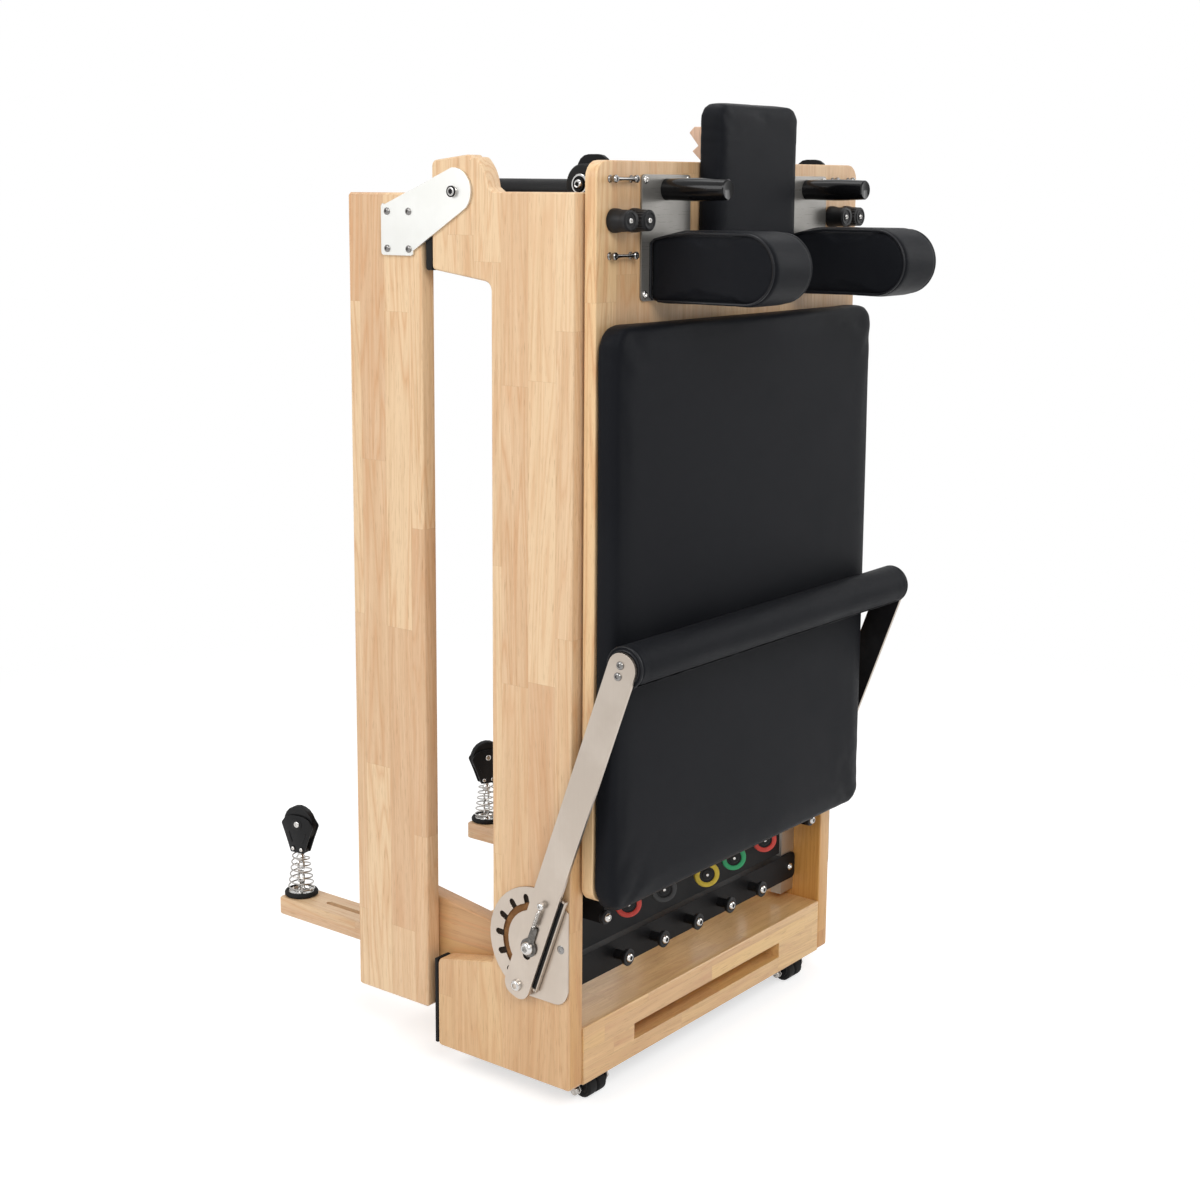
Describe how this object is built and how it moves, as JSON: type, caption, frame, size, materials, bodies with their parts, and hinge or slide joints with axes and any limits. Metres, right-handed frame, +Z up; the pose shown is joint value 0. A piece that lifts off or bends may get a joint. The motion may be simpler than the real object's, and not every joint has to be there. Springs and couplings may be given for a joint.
{
  "type": "folding pilates reformer",
  "caption": "Folding wooden pilates reformer, stored upright, with padded carriage, adjustable foot bar, springs, shoulder rests and rope pulleys.",
  "frame": {"origin": "on the floor, under the middle of the folded bed's bounding box", "axes": "+Z up, +X across the bed towards its right as seen from the cushion side, +Y from the cushion towards the folded head half"},
  "size_m": [0.7156, 0.8834, 1.352],
  "materials": {
    "rubberwood": "clear satin lacquer over finger-jointed solid rubberwood",
    "veneer": "clear satin lacquer over pale plywood",
    "black_leather": "black synthetic leather with a fine grain",
    "black_rubber": "matt black rubber",
    "black_steel": "black powder coat on steel",
    "black_plastic": "matt black moulded plastic",
    "black_gloss_plastic": "glossy black moulded plastic",
    "brushed_steel": "brushed stainless steel",
    "bright_steel": "bright brushed stainless steel",
    "chrome": "polished steel",
    "red_rubber": "red rubber sleeve on the spring's eye",
    "yellow_rubber": "yellow rubber sleeve on the spring's eye",
    "green_rubber": "green rubber sleeve on the spring's eye"
  },
  "bodies": {
    "foot_frame": {"foot_side_left": "rubberwood", "foot_side_right": "rubberwood", "foot_pad_left": "black_rubber", "foot_pad_right": "black_rubber", "foot_batten_left": "rubberwood", "foot_batten_right": "rubberwood", "end_block": "rubberwood", "hinge_tube": "black_steel", "spring_bar": "black_steel", "gear_plate_left": "brushed_steel", "gear_plate_right": "brushed_steel", "caster_plate": "black_steel"},
    "head_half": {"head_rail_left": "rubberwood", "head_rail_right": "rubberwood", "head_leg_left": "rubberwood", "head_leg_right": "rubberwood", "hinge_plate_left": "bright_steel", "hinge_plate_right": "bright_steel", "head_end_board": "rubberwood"},
    "carriage": {"carriage_board": "veneer", "cushion": "black_leather", "carriage_frame": "black_steel", "shoulder_plate_left": "brushed_steel", "shoulder_plate_right": "brushed_steel", "shoulder_pad_left": "black_leather", "shoulder_pad_right": "black_leather", "handle_left": "black_gloss_plastic", "handle_right": "black_gloss_plastic", "spring_1": "red_rubber", "spring_2": "black_plastic", "spring_3": "yellow_rubber", "spring_4": "green_rubber", "spring_5": "red_rubber"},
    "headrest_body": {"headrest": "black_leather"},
    "headrest_prop_body": {"headrest_prop": "rubberwood"},
    "footbar_pivot": {"footbar_pivot_left": "chrome", "footbar_pivot_right": "chrome"},
    "footbar": {"footbar_arm_left": "brushed_steel", "footbar_arm_right": "brushed_steel", "footbar_pad": "black_leather"},
    "carriage_wheel_1_body": {"carriage_wheel_1": "black_rubber"},
    "carriage_wheel_2_body": {"carriage_wheel_2": "black_rubber"},
    "carriage_wheel_3_body": {"carriage_wheel_3": "black_rubber"},
    "carriage_wheel_4_body": {"carriage_wheel_4": "black_rubber"},
    "caster_wheel_1_body": {"caster_wheel_1": "black_rubber"},
    "caster_wheel_2_body": {"caster_wheel_2": "black_rubber"},
    "caster_wheel_3_body": {"caster_wheel_3": "black_rubber"},
    "caster_wheel_4_body": {"caster_wheel_4": "black_rubber"},
    "riser_left_body": {"riser_left": "rubberwood"},
    "pulley_left": {"pulley_block_left": "black_plastic", "pulley_spring_left": "chrome"},
    "sheave_left_body": {"sheave_left": "black_plastic"},
    "riser_right_body": {"riser_right": "rubberwood"},
    "pulley_right": {"pulley_block_right": "black_plastic", "pulley_spring_right": "chrome"},
    "sheave_right_body": {"sheave_right": "black_plastic"},
    "cam_left_outer_body": {"cam_left_outer": "black_plastic"},
    "cam_left_inner_body": {"cam_left_inner": "black_plastic"},
    "cam_right_outer_body": {"cam_right_outer": "black_plastic"},
    "cam_right_inner_body": {"cam_right_inner": "black_plastic"}
  },
  "joints": [
    {"name": "fold", "type": "hinge", "parent": "foot_frame", "child": "head_half", "pos_m": [0, -0.02225, 1.236], "axis": [1, 0, 0], "range_deg": [0, 180]},
    {"name": "carriage_slide", "type": "slide", "parent": "foot_frame", "child": "carriage", "axis": [0, 0, 1], "range_m": [0, 0.9]},
    {"name": "carriage_wheel_1_spin", "type": "hinge", "parent": "carriage", "child": "carriage_wheel_1_body", "pos_m": [-0.2799, -0.19755, 1.246], "axis": [1, 0, 0], "continuous": true},
    {"name": "carriage_wheel_2_spin", "type": "hinge", "parent": "carriage", "child": "carriage_wheel_2_body", "pos_m": [0.2799, -0.19755, 1.246], "axis": [1, 0, 0], "continuous": true},
    {"name": "carriage_wheel_3_spin", "type": "hinge", "parent": "carriage", "child": "carriage_wheel_3_body", "pos_m": [-0.2799, -0.19755, 0.366], "axis": [1, 0, 0], "continuous": true},
    {"name": "carriage_wheel_4_spin", "type": "hinge", "parent": "carriage", "child": "carriage_wheel_4_body", "pos_m": [0.2799, -0.19755, 0.366], "axis": [1, 0, 0], "continuous": true},
    {"name": "caster_wheel_1_spin", "type": "hinge", "parent": "foot_frame", "child": "caster_wheel_1_body", "pos_m": [-0.2565, -0.19525, 0.0155], "axis": [1, 0, 0], "continuous": true},
    {"name": "caster_wheel_2_spin", "type": "hinge", "parent": "foot_frame", "child": "caster_wheel_2_body", "pos_m": [0.2565, -0.19525, 0.0155], "axis": [1, 0, 0], "continuous": true},
    {"name": "caster_wheel_3_spin", "type": "hinge", "parent": "foot_frame", "child": "caster_wheel_3_body", "pos_m": [-0.2325, -0.00725, 0.0155], "axis": [1, 0, 0], "continuous": true},
    {"name": "caster_wheel_4_spin", "type": "hinge", "parent": "foot_frame", "child": "caster_wheel_4_body", "pos_m": [0.2325, -0.00725, 0.0155], "axis": [1, 0, 0], "continuous": true},
    {"name": "riser_left_slide", "type": "slide", "parent": "head_half", "child": "riser_left_body", "axis": [0, 1, 0], "range_m": [-0.12, 0]},
    {"name": "pulley_left_swivel", "type": "hinge", "parent": "riser_left_body", "child": "pulley_left", "pos_m": [-0.2275, 0.40625, 0.1386], "axis": [0, 0, 1], "continuous": true},
    {"name": "sheave_left_spin", "type": "hinge", "parent": "pulley_left", "child": "sheave_left_body", "pos_m": [-0.2275, 0.40625, 0.255], "axis": [0.9903, 0.1392, 0], "continuous": true},
    {"name": "riser_right_slide", "type": "slide", "parent": "head_half", "child": "riser_right_body", "axis": [0, 1, 0], "range_m": [-0.12, 0]},
    {"name": "pulley_right_swivel", "type": "hinge", "parent": "riser_right_body", "child": "pulley_right", "pos_m": [0.2275, 0.41525, 0.1386], "axis": [0, 0, 1], "continuous": true},
    {"name": "sheave_right_spin", "type": "hinge", "parent": "pulley_right", "child": "sheave_right_body", "pos_m": [0.2275, 0.41525, 0.255], "axis": [0.4384, 0.8988, 0], "continuous": true},
    {"name": "headrest_tilt", "type": "hinge", "parent": "carriage", "child": "headrest_body", "pos_m": [0, -0.25155, 1.117], "axis": [1, 0, 0], "range_deg": [0, 40]},
    {"name": "headrest_prop_swing", "type": "hinge", "parent": "headrest_body", "child": "headrest_prop_body", "pos_m": [0, -0.24055, 1.319], "axis": [1, 0, 0], "range_deg": [0, 80]},
    {"name": "cam_left_outer_turn", "type": "hinge", "parent": "carriage", "child": "cam_left_outer_body", "pos_m": [-0.2835, -0.24555, 1.201], "axis": [0, -1, 0], "range_deg": [0, 35], "stiffness_Nm_per_rad": 0.02},
    {"name": "cam_left_inner_turn", "type": "hinge", "parent": "carriage", "child": "cam_left_inner_body", "pos_m": [-0.243, -0.24555, 1.201], "axis": [0, 1, 0], "range_deg": [0, 35], "stiffness_Nm_per_rad": 0.02},
    {"name": "cam_right_outer_turn", "type": "hinge", "parent": "carriage", "child": "cam_right_outer_body", "pos_m": [0.2835, -0.24555, 1.201], "axis": [0, 1, 0], "range_deg": [0, 35], "stiffness_Nm_per_rad": 0.02},
    {"name": "cam_right_inner_turn", "type": "hinge", "parent": "carriage", "child": "cam_right_inner_body", "pos_m": [0.243, -0.24555, 1.201], "axis": [0, -1, 0], "range_deg": [0, 35], "stiffness_Nm_per_rad": 0.02},
    {"name": "footbar_tilt", "type": "hinge", "parent": "foot_frame", "child": "footbar_pivot", "pos_m": [0, -0.16225, 0.234], "axis": [1, 0, 0], "range_deg": [0, 145.2]},
    {"name": "footbar_lift", "type": "slide", "parent": "footbar_pivot", "child": "footbar", "axis": [0, -0.3469, 0.9379], "range_m": [0, 0.0128]}
  ],
  "couplings": [
    {"joint": "carriage_wheel_1_spin", "follows": "carriage_slide", "rad_per_m": -38.462},
    {"joint": "carriage_wheel_2_spin", "follows": "carriage_slide", "rad_per_m": -38.462},
    {"joint": "carriage_wheel_3_spin", "follows": "carriage_slide", "rad_per_m": -38.462},
    {"joint": "carriage_wheel_4_spin", "follows": "carriage_slide", "rad_per_m": -38.462}
  ]
}
